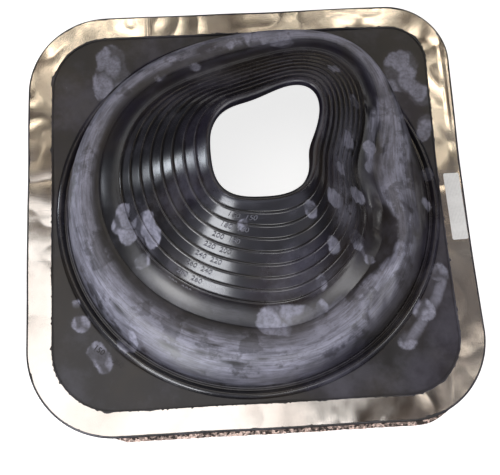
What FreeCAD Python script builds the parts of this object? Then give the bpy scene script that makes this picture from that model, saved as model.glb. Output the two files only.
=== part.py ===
import FreeCAD, Part
import math
import os

# Pipe flashing boot: a stepped rubber cone on a square flange, with a soft
# aluminium band round the flange, a foam gasket under it and a paper label.
# Units mm.  +Z up, +Y to the back.  Origin: centre of the flange, on the plane
# the gasket rests on.  The cone is modelled as it lies, pushed back and leaning.

# ---- flange -----------------------------------------------------------------
BASE_WIDTH = 430.0            # across the flange, left to right and front to back
GASKET_THICK = 5.0
RUBBER_THICK = 3.0
BAND_THICK = 1.0
BAND_WIDTH = 22.5             # aluminium band, outer edge to inner edge
BAND_EDGE_INSET = 1.5         # rubber lip left outside the band
CORNER_RADII = {"back_right": 62.0, "back_left": 80.0, "front_left": 84.0, "front_right": 80.0}
RIGHT_EDGE_BOW = -2.5         # the right edge bows in by this much at its middle
BACK_EDGE_BOW = 1.0
FRONT_EDGE_BOW = 0.0
LEFT_EDGE_BOW = 0.5

# ---- gasket -----------------------------------------------------------------
GASKET_WIDTH = 30.0
GASKET_SIDE_INSET = 2.0       # gasket edge inside the rubber edge, left, right and back
GASKET_FRONT_OVERHANG = 4.0   # gasket edge past the rubber edge at the front

# ---- bead, shoulder and collar: runs are radius lost, heights above the flange top ----
BAND_TO_BEAD = 4.0            # bare rubber between the band and the bead
BEAD_WIDTH = 8.0
BEAD_SLOPE = 2.0              # radius taken by each sloping side of the bead
BEAD_HEIGHT = 4.2
BEAD_TO_SHOULDER = 4.0
SHOULDER_RUN = 20.0
SHOULDER_CREST_H = 34.5
CREASE_RUN = 13.5
CREASE_H = 32.5
COLLAR_RUN = 20.0             # smooth band between the crease and the lowest step
COLLAR_TOP_H = 44.5
SHOULDER_CROWN = 0.7          # rise of the shoulder's top between crest and crease
COLLAR_CROWN = 1.2            # rise of the collar at its middle
# turns of the shoulder's quarter-round in degrees, each with its share of the cone's push and dents
SHOULDER_TURNS = ((13.0, 0.09), (31.0, 0.30), (49.0, 0.50), (68.0, 0.68), (90.0, 0.84))

# ---- steps --------------------------------------------------------------------
STEP_COUNT = 8
STEP_DROP = 9.65              # height of one step
STEP_RUN = 8.45               # radius lost over one step
LEDGE_RUN = 2.5               # part of the run taken by the ledge
LEDGE_DROP = 0.4
WALL = 2.8                    # rubber wall of shoulder and cone

# ---- how the rubber lies -----------------------------------------------------------
PUSH_BACK = 18.5              # the whole cone sits this far behind the flange centre
LEAN_RIGHT = 17.0             # extra shift to the right at the mouth
TILT_RIGHT_DEG = 5.0          # tilt of the mouth plane
CORNER_OUT, CORNER_AZ, CORNER_SPREAD = 28.0, 51.0, 24.0     # pulled-out corner, back right
REAR_IN, REAR_AZ, REAR_SPREAD = 11.0, 108.0, 30.0           # flat at the back
MOUTH_SHARE = 0.58            # how much of these two is left at the mouth
SIDE_IN, SIDE_AZ, SIDE_SPREAD = 23.0, 1.0, 20.0             # pressed-in right side, at the crease
SIDE_IN_MOUTH, SIDE_AZ_MOUTH, SIDE_SPREAD_MOUTH = 11.5, -12.0, 34.0   # the same at the mouth
FRONT_OUT, FRONT_AZ, FRONT_SPREAD = 8.0, -72.0, 22.0        # slight bulge, front right
MOUTH_OUT, MOUTH_AZ, MOUTH_SPREAD = 10.0, 227.0, 26.0       # corner of the mouth only
POCKET_DEEP, POCKET_AZ, POCKET_SPREAD = 14.0, -24.0, 16.0   # buckle in the collar, right
POCKET_RUN, POCKET_REACH = 10.5, 13.0                       # inside the crease
FOLD_HIGH, FOLD_AZ, FOLD_SPREAD = 8.0, -30.0, 15.0          # fold crossing the shoulder, right
FOLD_RUN, FOLD_REACH, FOLD_SLANT = 1.0, 8.0, 0.9            # outside the crest; radius gained a degree

# ---- label -----------------------------------------------------------------------
LABEL_LENGTH = 69.0
LABEL_WIDTH = 15.5
LABEL_THICK = 0.25
LABEL_CORNER = 2.0
LABEL_SHIFT = 2.45            # outward from the middle of the band
LABEL_Y = -9.0
LABEL_TURN_DEG = 1.2

RING_POINTS = 28              # spline points round each ring
LEAST_RADIUS = 4.0            # smallest inner corner of band and gasket

Z_UNDER = GASKET_THICK
Z_TOP = GASKET_THICK + RUBBER_THICK
BEAD_OUTER_R = 0.5 * BASE_WIDTH - BAND_EDGE_INSET - BAND_WIDTH - BAND_TO_BEAD
BEAD_INNER_R = BEAD_OUTER_R - BEAD_WIDTH
SHOULDER_FOOT_R = BEAD_INNER_R - BEAD_TO_SHOULDER
SHOULDER_CREST_R = SHOULDER_FOOT_R - SHOULDER_RUN
CREASE_R = SHOULDER_CREST_R - CREASE_RUN
COLLAR_TOP_R = CREASE_R - COLLAR_RUN
MOUTH_R = COLLAR_TOP_R - STEP_COUNT * STEP_RUN + LEDGE_RUN
MOUTH_Z = Z_TOP + COLLAR_TOP_H + STEP_COUNT * STEP_DROP
CREASE_Z = Z_TOP + CREASE_H


def bump(azimuth, centre, spread):
    """1 at the centre azimuth, falling off smoothly on both sides (degrees)."""
    gap = (azimuth - centre + 180.0) % 360.0 - 180.0
    return math.exp(-(gap / spread) ** 2)


def azimuth_signed(azimuth):
    """The same azimuth between -180 and 180 degrees."""
    return (azimuth + 180.0) % 360.0 - 180.0


def lay(azimuth, r, z, key_r, follow):
    """Place one point of the moulding as it lies.  key_r is the outer radius of
    the same station, follow is 0 at the bead and 1 from the crease upward."""
    rise = min(max((z - CREASE_Z) / (MOUTH_Z - CREASE_Z), 0.0), 1.0)
    out = CORNER_OUT * bump(azimuth, CORNER_AZ, CORNER_SPREAD)
    out -= REAR_IN * bump(azimuth, REAR_AZ, REAR_SPREAD)
    out *= 1.0 - (1.0 - MOUTH_SHARE) * rise ** 1.5
    side_az = SIDE_AZ + (SIDE_AZ_MOUTH - SIDE_AZ) * rise
    side_spread = SIDE_SPREAD + (SIDE_SPREAD_MOUTH - SIDE_SPREAD) * rise
    out -= (SIDE_IN + (SIDE_IN_MOUTH - SIDE_IN) * rise) * bump(azimuth, side_az, side_spread)
    out += FRONT_OUT * (1.0 - rise) * bump(azimuth, FRONT_AZ, FRONT_SPREAD)
    out += MOUTH_OUT * rise ** 2 * bump(azimuth, MOUTH_AZ, MOUTH_SPREAD)
    r_laid = r + follow * out
    a = math.radians(azimuth)
    x = r_laid * math.cos(a)
    y = r_laid * math.sin(a)
    z_laid = z - x * math.tan(math.radians(TILT_RIGHT_DEG)) * rise
    pocket_r = CREASE_R - POCKET_RUN
    pocket = bump(azimuth, POCKET_AZ, POCKET_SPREAD) * math.exp(-((key_r - pocket_r) / POCKET_REACH) ** 2)
    fold_r = SHOULDER_CREST_R + FOLD_RUN + FOLD_SLANT * (FOLD_AZ - azimuth_signed(azimuth))
    fold = bump(azimuth, FOLD_AZ, FOLD_SPREAD) * math.exp(-((key_r - fold_r) / FOLD_REACH) ** 2)
    z_laid += follow * (FOLD_HIGH * fold - POCKET_DEEP * pocket)
    x += LEAN_RIGHT * rise ** 1.15
    y += PUSH_BACK * follow
    return FreeCAD.Vector(x, y, z_laid)


def ring(r, z, key_r, follow):
    """Closed spline through one station of the moulding, with its knots at even azimuths."""
    points = [lay(360.0 * i / RING_POINTS, r, z, key_r, follow) for i in range(RING_POINTS)]
    curve = Part.BSplineCurve()
    curve.interpolate(Points=points, PeriodicFlag=True, Parameters=[float(i) for i in range(RING_POINTS + 1)])
    return Part.Wire([curve.toShape()])


def shoulder_stations():
    """Skin from the foot of the shoulder to its crest: r, z, follow."""
    rows = [(SHOULDER_FOOT_R, Z_TOP, 0.0)]
    # quarter-round from the foot up to the crest, steep at first
    for angle, follow in SHOULDER_TURNS:
        a = math.radians(angle)
        r = SHOULDER_CREST_R + (SHOULDER_FOOT_R - SHOULDER_CREST_R) * math.cos(a) ** 0.8
        rows.append((r, Z_TOP + SHOULDER_CREST_H * math.sin(a), follow))
    return rows


def cone_stations():
    """Outer skin from past the crest to the mouth: r, z, follow."""
    mid_r, mid_h = 0.5 * (SHOULDER_CREST_R + CREASE_R), 0.5 * (SHOULDER_CREST_H + CREASE_H)
    rows = [(mid_r, Z_TOP + mid_h + SHOULDER_CROWN, 0.94)]
    rows.append((CREASE_R, CREASE_Z, 1.0))
    mid_r = 0.5 * (CREASE_R + COLLAR_TOP_R)
    rows.append((mid_r, Z_TOP + 0.5 * (CREASE_H + COLLAR_TOP_H) + COLLAR_CROWN, 1.0))
    rows.append((COLLAR_TOP_R, Z_TOP + COLLAR_TOP_H, 1.0))
    for i in range(STEP_COUNT):
        r0 = COLLAR_TOP_R - i * STEP_RUN
        z0 = Z_TOP + COLLAR_TOP_H + i * STEP_DROP
        rows.append((r0 - LEDGE_RUN, z0 + LEDGE_DROP, 1.0))
        if i < STEP_COUNT - 1:
            rows.append((r0 - STEP_RUN, z0 + STEP_DROP, 1.0))
    rows.append((MOUTH_R - LEDGE_RUN, MOUTH_Z, 1.0))
    return rows


def inside(rows):
    """The same stations moved in by the wall, along the local normal."""
    moved = []
    for i, (r, z, follow) in enumerate(rows):
        r_a, z_a, _ = rows[max(i - 1, 0)]
        r_b, z_b, _ = rows[min(i + 1, len(rows) - 1)]
        run, climb = r_b - r_a, z_b - z_a
        size = math.hypot(run, climb)
        moved.append((r - WALL * climb / size, z + WALL * run / size, r, follow))
    return moved


def skin(wires):
    """Ruled strips through a list of rings."""
    faces = []
    for low, high in zip(wires, wires[1:]):
        faces.append(Part.makeRuledSurface(low.Edges[0], high.Edges[0]))
    return faces


def edge_arc(start, end, bow):
    """Side of the outline from start to end, pushed outward by bow at its middle."""
    if abs(bow) < 1e-6:
        return Part.makeLine(start, end)
    way = end - start
    out = FreeCAD.Vector(way.y, -way.x, 0.0).normalize()
    return Part.Arc(start, (start + end) * 0.5 + out * bow, end).toShape()


def outline(z, inset, front_inset=None, back_inset=None, radius_trim=None):
    """Rounded square, counter-clockwise from the right edge, as a closed wire."""
    half = 0.5 * BASE_WIDTH
    front = half - (inset if front_inset is None else front_inset)
    back = half - (inset if back_inset is None else back_inset)
    side = half - inset
    trim = inset if radius_trim is None else radius_trim
    spots = (("back_right", side, back, 1, 1, 0.0), ("back_left", -side, back, -1, 1, 90.0),
             ("front_left", -side, -front, -1, -1, 180.0), ("front_right", side, -front, 1, -1, 270.0))
    arcs = []
    for name, x, y, sx, sy, turn in spots:
        radius = max(CORNER_RADII[name] - trim, LEAST_RADIUS)
        cx, cy = x - sx * radius, y - sy * radius
        pts = []
        for step in (0.0, 45.0, 90.0):
            a = math.radians(turn + step)
            pts.append(FreeCAD.Vector(cx + radius * math.cos(a), cy + radius * math.sin(a), z))
        arcs.append(pts)
    bows = (BACK_EDGE_BOW, LEFT_EDGE_BOW, FRONT_EDGE_BOW, RIGHT_EDGE_BOW)
    edges = []
    for i in range(4):
        pts = arcs[i]
        edges.append(Part.Arc(pts[0], pts[1], pts[2]).toShape())
        edges.append(edge_arc(pts[2], arcs[(i + 1) % 4][0], bows[i]))
    return Part.Wire(edges)


def frame_solid(outer, inner, height):
    """Flat frame between two closed wires, raised by height."""
    return Part.Face([outer, inner]).extrude(FreeCAD.Vector(0.0, 0.0, height))


def rubber_boot():
    """Flange, bead, shoulder, collar and stepped cone as one moulding."""
    bead_rows = ((BEAD_OUTER_R, 0.0), (BEAD_OUTER_R - BEAD_SLOPE, BEAD_HEIGHT),
                 (BEAD_INNER_R + BEAD_SLOPE, BEAD_HEIGHT), (BEAD_INNER_R, 0.0))
    bead = [ring(r, Z_TOP + high, r, 0.0) for r, high in bead_rows]
    outer_rows = shoulder_stations() + cone_stations()
    outer = [ring(r, z, r, follow) for r, z, follow in outer_rows]

    inner_rows = inside(outer_rows)
    inner_rows[0] = (SHOULDER_FOOT_R - WALL, Z_UNDER, SHOULDER_FOOT_R, 0.0)
    inner_rows[-1] = (outer_rows[-1][0] - WALL, MOUTH_Z, outer_rows[-1][0], 1.0)
    inner = [ring(*row) for row in inner_rows]
    faces = skin(bead) + [Part.Face([bead[-1], outer[0]])]
    faces += skin(outer) + skin([outer[-1], inner[-1]]) + skin(inner)

    top = outline(Z_TOP, 0.0)
    under = outline(Z_UNDER, 0.0)
    faces.append(Part.Face([top, bead[0]]))
    faces.append(Part.Face([under, inner[0]]))
    for low, high in zip(under.Edges, top.Edges):
        faces.append(Part.makeRuledSurface(low, high))

    shell = Part.makeShell(faces)
    shell.sewShape()
    solid = Part.Solid(shell)
    if solid.Volume < 0.0:
        solid.reverse()
    return solid


def aluminium_band():
    """Soft metal frame bonded on top of the flange."""
    outer = outline(Z_TOP, BAND_EDGE_INSET)
    inner = outline(Z_TOP, BAND_EDGE_INSET + BAND_WIDTH)
    return frame_solid(outer, inner, BAND_THICK)


def foam_gasket():
    """Closed-cell strip under the rim of the flange."""
    side = GASKET_SIDE_INSET
    outer = outline(0.0, side, front_inset=-GASKET_FRONT_OVERHANG, radius_trim=side)
    inner = outline(0.0, side + GASKET_WIDTH, front_inset=GASKET_WIDTH - GASKET_FRONT_OVERHANG,
                    radius_trim=side + GASKET_WIDTH)
    return frame_solid(outer, inner, GASKET_THICK)


def label():
    """Paper sticker on the right-hand run of the band."""
    z = Z_TOP + BAND_THICK
    shape = Part.makeBox(LABEL_WIDTH, LABEL_LENGTH, LABEL_THICK,
                         FreeCAD.Vector(-0.5 * LABEL_WIDTH, -0.5 * LABEL_LENGTH, z))
    upright = [e for e in shape.Edges if abs(e.tangentAt(e.FirstParameter).z) > 0.9]
    shape = shape.makeFillet(LABEL_CORNER, upright)
    shape.rotate(FreeCAD.Vector(0, 0, 0), FreeCAD.Vector(0, 0, 1), LABEL_TURN_DEG)
    band_middle = 0.5 * BASE_WIDTH + RIGHT_EDGE_BOW - BAND_EDGE_INSET - 0.5 * BAND_WIDTH
    shape.translate(FreeCAD.Vector(band_middle + LABEL_SHIFT, LABEL_Y, 0.0))
    return shape


os.makedirs("parts", exist_ok=True)
rubber_boot().exportStep("parts/rubber_boot.step")
aluminium_band().exportStep("parts/aluminium_band.step")
foam_gasket().exportStep("parts/foam_gasket.step")
label().exportStep("parts/label.step")
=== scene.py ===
from math import atan2, cos, degrees, exp, hypot, pi, radians, sin, tan

import bmesh
import bpy
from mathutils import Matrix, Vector, noise


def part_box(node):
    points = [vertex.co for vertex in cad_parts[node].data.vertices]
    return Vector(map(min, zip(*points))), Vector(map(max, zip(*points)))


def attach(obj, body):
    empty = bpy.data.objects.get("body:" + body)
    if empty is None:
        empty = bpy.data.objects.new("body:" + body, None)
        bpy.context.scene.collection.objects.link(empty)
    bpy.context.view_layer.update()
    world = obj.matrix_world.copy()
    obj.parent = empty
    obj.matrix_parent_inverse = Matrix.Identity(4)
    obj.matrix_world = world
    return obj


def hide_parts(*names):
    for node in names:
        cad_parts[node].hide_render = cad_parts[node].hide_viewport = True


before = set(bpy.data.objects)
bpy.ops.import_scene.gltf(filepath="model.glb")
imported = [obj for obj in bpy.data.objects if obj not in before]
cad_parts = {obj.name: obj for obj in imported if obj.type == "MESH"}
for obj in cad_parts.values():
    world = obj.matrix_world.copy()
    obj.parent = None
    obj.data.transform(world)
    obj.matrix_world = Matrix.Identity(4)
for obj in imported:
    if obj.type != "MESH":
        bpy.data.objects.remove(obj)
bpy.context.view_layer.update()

bl_info = {
    "name": "Pipe flashing boot",
    "version": (1, 0, 0),
    "blender": (4, 5, 0),
    "location": "View3D > Sidebar > Boot",
    "description": "Builds the finish of a rubber pipe flashing boot round its solids",
    "category": "Object",
}

MM = 0.001

# ---- heights and edges, read from the solids ---------------------------------
Z_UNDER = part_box("rubber_boot")[0].z
Z_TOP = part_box("aluminium_band")[0].z
Z_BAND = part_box("aluminium_band")[1].z
LABEL_LOW, LABEL_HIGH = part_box("label")

# ---- form of the moulding ------------------------------------------------------
CORNERS = {(1, 1): 62 * MM, (-1, 1): 80 * MM, (-1, -1): 84 * MM, (1, -1): 80 * MM}
RIGHT_BOW = 2.5 * MM
BAND_TO_BEAD = 4 * MM
BEAD_WIDTH = 8 * MM
BEAD_HEIGHT = 4.2 * MM
BEAD_TO_SHOULDER = 4 * MM
SHOULDER_RUN = 20 * MM
CREST_H = 34.5 * MM
CREASE_RUN = 13.5 * MM
CREASE_H = 32.5 * MM
COLLAR_RUN = 20 * MM
COLLAR_TOP_H = 44.5 * MM
STEPS = 8
STEP_DROP = 9.65 * MM
STEP_RUN = 8.45 * MM
LEDGE_RUN = 2.5 * MM
LEDGE_DROP = 0.4 * MM
RISER_FOOT_IN, RISER_FOOT_UP = 1.9 * MM, 0.6 * MM
SHARES = ((0, 0.0), (12, 0.08), (28, 0.26), (44, 0.44), (58, 0.59), (72, 0.71), (90, 0.84))

# ---- how the rubber lies ---------------------------------------------------------
PUSH_BACK = 18.5 * MM
LEAN_RIGHT = 17 * MM
TILT_RIGHT = radians(5)
MOUTH_SHARE = 0.58
CORNER_OUT = (28 * MM, 51, 24)
REAR_IN = (11 * MM, 108, 30)
SIDE_IN, SIDE_IN_MOUTH = (23 * MM, 1, 20), (11.5 * MM, -12, 34)
FRONT_OUT = (8 * MM, -72, 22)
MOUTH_OUT = (10 * MM, 227, 26)
POCKET = (14 * MM, -24, 16)
POCKET_RUN, POCKET_REACH = 10.5 * MM, 13 * MM
FOLD = (8 * MM, -30, 15)
FOLD_RUN, FOLD_REACH, FOLD_SLANT = 1 * MM, 8 * MM, 0.9 * MM

# ---- raised numbers ------------------------------------------------------------------
STEP_MARKS = ("300  280", "280  260", "260  240", "240  220", "220  200", "200  180", "180  160", "160  150")
MARK_AZIMUTH, MARK_AZIMUTH_STEP = 236, 2
MARK_BACK, MARK_LIFT, MARK_DUST = 2.6 * MM, 0.1 * MM, 0.45
FLANGE_MARK, FLANGE_MARK_AT, FLANGE_MARK_TURN = "150     300", (-0.140, -0.142), radians(-38)

# ---- gasket and label ------------------------------------------------------------------
GASKET_WIDTH, GASKET_SHOWN, GASKET_LIMIT_Y = 32 * MM, 5.3, -218.8 * MM
LABEL_TURN, LABEL_THICK, LABEL_CORNER = radians(1.2), 0.2 * MM, 1.6 * MM


class BootSizes(bpy.types.PropertyGroup):
    base_width: bpy.props.FloatProperty(
        name="Base width", description="Flange, edge to edge", default=0.430, unit="LENGTH")
    band_width: bpy.props.FloatProperty(
        name="Band width", description="Aluminium band, edge to edge", default=0.0225, unit="LENGTH")
    band_inset: bpy.props.FloatProperty(
        name="Band inset", description="Rubber lip left outside the band", default=0.0015, unit="LENGTH")
    wall: bpy.props.FloatProperty(
        name="Wall", description="Rubber wall of shoulder and cone", default=0.0028, unit="LENGTH")
    dent: bpy.props.FloatProperty(
        name="Band dents", description="Height of the dents in the band", default=0.0013, unit="LENGTH")
    mark_height: bpy.props.FloatProperty(
        name="Mark height", description="Height of the raised numbers", default=0.0058, unit="LENGTH")
    mark_raise: bpy.props.FloatProperty(
        name="Mark relief", description="How far the numbers stand proud", default=0.0004, unit="LENGTH")
    turns: bpy.props.IntProperty(
        name="Divisions", description="Divisions of the moulding round its axis", default=380, min=60)


class BootColours(bpy.types.PropertyGroup):
    rubber: bpy.props.FloatVectorProperty(
        name="Rubber", description="Clean rubber", default=(0.0095, 0.009, 0.011), subtype="COLOR")
    rubber_warm: bpy.props.FloatVectorProperty(
        name="Rubber bloom", description="Browner patches of the rubber", default=(0.024, 0.019, 0.015),
        subtype="COLOR")
    rubber_cool: bpy.props.FloatVectorProperty(
        name="Rubber sheen", description="Bluer patches of the rubber", default=(0.013, 0.010, 0.020),
        subtype="COLOR")
    talc: bpy.props.FloatVectorProperty(
        name="Talc", description="Dusty release powder", default=(0.31, 0.31, 0.40), subtype="COLOR")
    metal: bpy.props.FloatVectorProperty(
        name="Aluminium", description="Bare soft aluminium", default=(0.92, 0.90, 0.86), subtype="COLOR")
    metal_dull: bpy.props.FloatVectorProperty(
        name="Dull aluminium", description="Handled patches of the band", default=(0.80, 0.75, 0.70),
        subtype="COLOR")
    foam: bpy.props.FloatVectorProperty(
        name="Foam", description="Closed-cell foam", default=(0.33, 0.25, 0.22), subtype="COLOR")
    paper: bpy.props.FloatVectorProperty(
        name="Paper", description="Label", default=(0.93, 0.93, 0.93), subtype="COLOR")


# ---- form helpers -----------------------------------------------------------------
def bump(azimuth, centre, spread):
    """1 at the centre azimuth, falling off smoothly on both sides (degrees)."""
    gap = (azimuth - centre + 180.0) % 360.0 - 180.0
    return exp(-(gap / spread) ** 2)


def radii(sizes):
    """Named radii of the moulding, outside to inside."""
    bead = 0.5 * sizes.base_width - sizes.band_inset - sizes.band_width - BAND_TO_BEAD
    foot = bead - BEAD_WIDTH - BEAD_TO_SHOULDER
    crest = foot - SHOULDER_RUN
    crease = crest - CREASE_RUN
    collar = crease - COLLAR_RUN
    mouth = collar - STEPS * STEP_RUN
    return {"bead": bead, "foot": foot, "crest": crest, "crease": crease, "collar": collar, "mouth": mouth}


CREASE_Z = Z_TOP + CREASE_H
MOUTH_Z = Z_TOP + COLLAR_TOP_H + STEPS * STEP_DROP


def lay(azimuth, r, z, key, follow, ring):
    """Place one point of the moulding as it lies. key is the outer radius of the same station."""
    rise = min(max((z - CREASE_Z) / (MOUTH_Z - CREASE_Z), 0.0), 1.0)
    out = CORNER_OUT[0] * bump(azimuth, *CORNER_OUT[1:])
    out -= REAR_IN[0] * bump(azimuth, *REAR_IN[1:])
    out *= 1.0 - (1.0 - MOUTH_SHARE) * rise ** 1.5
    side = [a + (b - a) * rise for a, b in zip(SIDE_IN, SIDE_IN_MOUTH)]
    out -= side[0] * bump(azimuth, *side[1:])
    out += FRONT_OUT[0] * (1.0 - rise) * bump(azimuth, *FRONT_OUT[1:])
    out += MOUTH_OUT[0] * rise ** 2 * bump(azimuth, *MOUTH_OUT[1:])
    laid = r + follow * out
    x, y = laid * cos(radians(azimuth)), laid * sin(radians(azimuth))
    high = z - x * tan(TILT_RIGHT) * rise
    pocket_r = ring["crease"] - POCKET_RUN
    pocket = bump(azimuth, *POCKET[1:]) * exp(-((key - pocket_r) / POCKET_REACH) ** 2)
    signed = (azimuth + 180.0) % 360.0 - 180.0
    fold_r = ring["crest"] + FOLD_RUN + FOLD_SLANT * (FOLD[1] - signed)
    fold = bump(azimuth, *FOLD[1:]) * exp(-((key - fold_r) / FOLD_REACH) ** 2)
    high += follow * (FOLD[0] * fold - POCKET[0] * pocket)
    return Vector((x + LEAN_RIGHT * rise ** 1.15, y + PUSH_BACK * follow, high))


def outline(azimuth, half, inset):
    """Point of the rounded square at this azimuth, moved in by inset."""
    c, s = cos(radians(azimuth)), sin(radians(azimuth))
    sx, sy = (1 if c >= 0 else -1), (1 if s >= 0 else -1)
    side = half - inset
    radius = CORNERS[(sx, sy)] - inset
    reach = min(side / max(abs(c), 1e-6), side / max(abs(s), 1e-6))
    x, y = reach * c, reach * s
    cx, cy = sx * (side - radius), sy * (side - radius)
    if abs(x) > abs(cx) and abs(y) > abs(cy):
        along = cx * c + cy * s
        reach = along + (radius ** 2 - (cx * cx + cy * cy - along ** 2)) ** 0.5
        x, y = reach * c, reach * s
    if sx > 0 and abs(c) > 0.6:
        x -= RIGHT_BOW * max(0.0, 1.0 - ((y - 9 * MM) / (144 * MM)) ** 2)
    wander = 0.7 * MM * noise.noise(Vector((3.2 * c, 3.2 * s, 5.0)))
    return x * (1.0 - wander / half), y * (1.0 - wander / half)


def share(angle):
    """Share of the push that a turn of the shoulder takes."""
    for (a, low), (b, high) in zip(SHARES, SHARES[1:]):
        if angle <= b:
            return low + (high - low) * (angle - a) / (b - a)
    return SHARES[-1][1]


# Each row of a section: radius, height, key radius, follow, square, inset, gloss
def shoulder_rows(ring, every):
    rows = []
    for angle in range(0, 91, every):
        a = radians(angle)
        r = ring["crest"] + SHOULDER_RUN * cos(a) ** 0.8
        rows.append((r, Z_TOP + CREST_H * sin(a), r, share(angle), 0, 0, 0.35))
    return rows


def collar_rows(ring):
    rows = []
    for part in (0.25, 0.5, 0.75, 0.93):
        r = ring["crest"] - CREASE_RUN * part
        fall = (CREST_H - CREASE_H) * part ** 1.6
        rows.append((r, Z_TOP + CREST_H - fall, r, 0.84 + 0.16 * part, 0, 0, 0.4))
    r = ring["crease"]
    rows.append((r, CREASE_Z - 0.4 * MM, r, 1, 0, 0, 0.4))
    for part in (0.08, 0.25, 0.5, 0.75):
        r = ring["crease"] - COLLAR_RUN * part
        climb = (COLLAR_TOP_H - CREASE_H) * part + 1.2 * MM * sin(pi * part)
        rows.append((r, CREASE_Z + climb, r, 1, 0, 0, 0.5))
    return rows


def riser(ring, i):
    """Radius and height of the edge of step i, and the direction up its riser."""
    r0, z0 = ring["collar"] - i * STEP_RUN, Z_TOP + COLLAR_TOP_H + i * STEP_DROP
    fall, climb = COLLAR_RUN, COLLAR_TOP_H - CREASE_H
    if i > 0:
        fall, climb = STEP_RUN - RISER_FOOT_IN, STEP_DROP - RISER_FOOT_UP
    size = hypot(fall, climb)
    return r0, z0, -fall / size, climb / size


def step_rows(ring, i):
    """Riser, light ridge at the edge, groove on the ledge."""
    r0, z0, dr, dz = riser(ring, i)
    rows = []
    for back, lift in ((2.6, 0.0), (2.2, 0.0), (1.6, -0.3), (1.15, 0.0), (0.85, 0.35), (0.4, 0.4),
                       (0.05, 0.0)):
        r = r0 - dr * back * MM + dz * lift * MM
        z = z0 - dz * back * MM - dr * lift * MM
        rows.append((r, z, r0, 1, 0, 0, 1.0))
    for inward, lift in ((0.3, -0.55), (0.7, -0.7), (1.15, -0.4), (1.55, 0.12), (1.95, 0.68), (2.25, 1.09)):
        rows.append((r0 - inward * MM, z0 + lift * MM, r0 - inward * MM, 1, 0, 0, 1.0))
    return rows


def solid_rows(ring, sizes):
    """Whole section of the moulding, from the underside of the flange round to the inside."""
    start, end = sizes.band_inset, sizes.band_inset + sizes.band_width
    rows = []
    for inset, z in ((end + 10 * MM, Z_UNDER), (0.6 * MM, Z_UNDER), (0, Z_UNDER + 0.6 * MM),
                     (0, Z_BAND - 0.8 * MM), (0.35 * MM, Z_BAND - 0.1 * MM),
                     (start - 0.4 * MM, Z_BAND - 0.1 * MM), (start, Z_TOP - 0.9 * MM),
                     (end - 0.5 * MM, Z_TOP - 0.9 * MM), (end, Z_TOP), (end + 1.5 * MM, Z_TOP)):
        rows.append((0.5 * sizes.base_width - inset, z, ring["bead"], 0, 1, inset, 0.25))
    for k in range(1, 15):
        square = 1.0 - k / 14.4
        rows.append((ring["bead"] + 2 * MM * square, Z_TOP, ring["bead"], 0, square, end + 1.5 * MM, 0.25))
    for k in range(9):
        part = k / 8
        r = ring["bead"] - BEAD_WIDTH * part
        rows.append((r, Z_TOP + BEAD_HEIGHT * sin(pi * part) ** 0.8, r, 0, 0, 0, 1.0))
    for back, lift in ((1.0, 0.1), (1.6, 1.0), (2.4, 1.2), (3.1, 0.9), (3.6, 0.1)):
        r = ring["bead"] - BEAD_WIDTH - back * MM
        rows.append((r, Z_TOP + lift * MM, r, 0, 0, 0, 1.0))
    rows += shoulder_rows(ring, 5)
    rows += collar_rows(ring)
    for i in range(STEPS):
        rows += step_rows(ring, i)
    lip = ring["mouth"]
    for out, down in ((2.6, 3.9), (1.0, 1.3), (0.75, 0.7), (0.9, 0.3), (0.7, 0.0), (0.2, -0.05), (-1.0, 0.5),
                      (-2.6, 1.3), (-3.3, 2.2), (-4.0, 8.0), (-3.6, 10.0), (-2.2, 10.4)):
        rows.append((lip + out * MM, MOUTH_Z - down * MM, lip, 1, 0, 0, 0.5 if out < 0 else 0.9))
    rows += inner_rows(ring, sizes.wall)
    return rows


def inner_rows(ring, wall):
    """Inside of the moulding, mouth to foot, one wall in from the outside."""
    outside = shoulder_rows(ring, 15) + collar_rows(ring)[1::3]
    for i in range(STEPS):
        r0, z0, _, _ = riser(ring, i)
        outside.append((r0, z0, r0, 1, 0, 0, 0.5))
        outside.append((r0 - LEDGE_RUN, z0 + LEDGE_DROP, r0 - LEDGE_RUN, 1, 0, 0, 0.5))
    lip = ring["mouth"]
    outside.append((lip, MOUTH_Z, lip, 1, 0, 0, 0.5))
    rows = []
    for i, (r, z, key, follow, _, _, gloss) in enumerate(outside):
        before, after = outside[max(i - 1, 0)], outside[min(i + 1, len(outside) - 1)]
        run, climb = after[0] - before[0], after[1] - before[1]
        size = hypot(run, climb)
        rows.append((r - wall * climb / size, z + wall * run / size, key, follow, 0, 0, gloss))
    rows[0] = (ring["foot"] - wall, Z_UNDER, ring["foot"], 0, 0, 0, 0.3)
    rows = rows[:-3]
    return rows[::-1]


# ---- mesh helpers -----------------------------------------------------------------
LAYERS = ("key", "follow", "square", "inset", "gloss")


def turn_round(bm, geom, steps):
    """Full spin of a profile round the axis."""
    bmesh.ops.spin(bm, geom=geom, cent=(0, 0, 0), axis=(0, 0, 1), dvec=(0, 0, 0), angle=2 * pi,
                   steps=steps, use_merge=True, use_duplicate=False)


def as_object(bm, name):
    """Object in the scene that takes over the bmesh."""
    mesh = bpy.data.meshes.new(name)
    bm.to_mesh(mesh)
    bm.free()
    made = bpy.data.objects.new(name, mesh)
    bpy.context.scene.collection.objects.link(made)
    return made


def spun(rows, steps):
    """Closed section spun once round the axis, with its rows' values kept on the points."""
    bm = bmesh.new()
    layers = [bm.verts.layers.float.new(name) for name in LAYERS]
    verts = []
    for row in rows:
        v = bm.verts.new((row[0], 0, row[1]))
        for layer, value in zip(layers, row[2:]):
            v[layer] = value
        verts.append(v)
    edges = [bm.edges.new((a, b)) for a, b in zip(verts, verts[1:] + verts[:1])]
    turn_round(bm, verts + edges, steps)
    bmesh.ops.remove_doubles(bm, verts=bm.verts, dist=1e-6)
    bmesh.ops.recalc_face_normals(bm, faces=bm.faces)
    return bm, dict(zip(LAYERS, layers))


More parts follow.
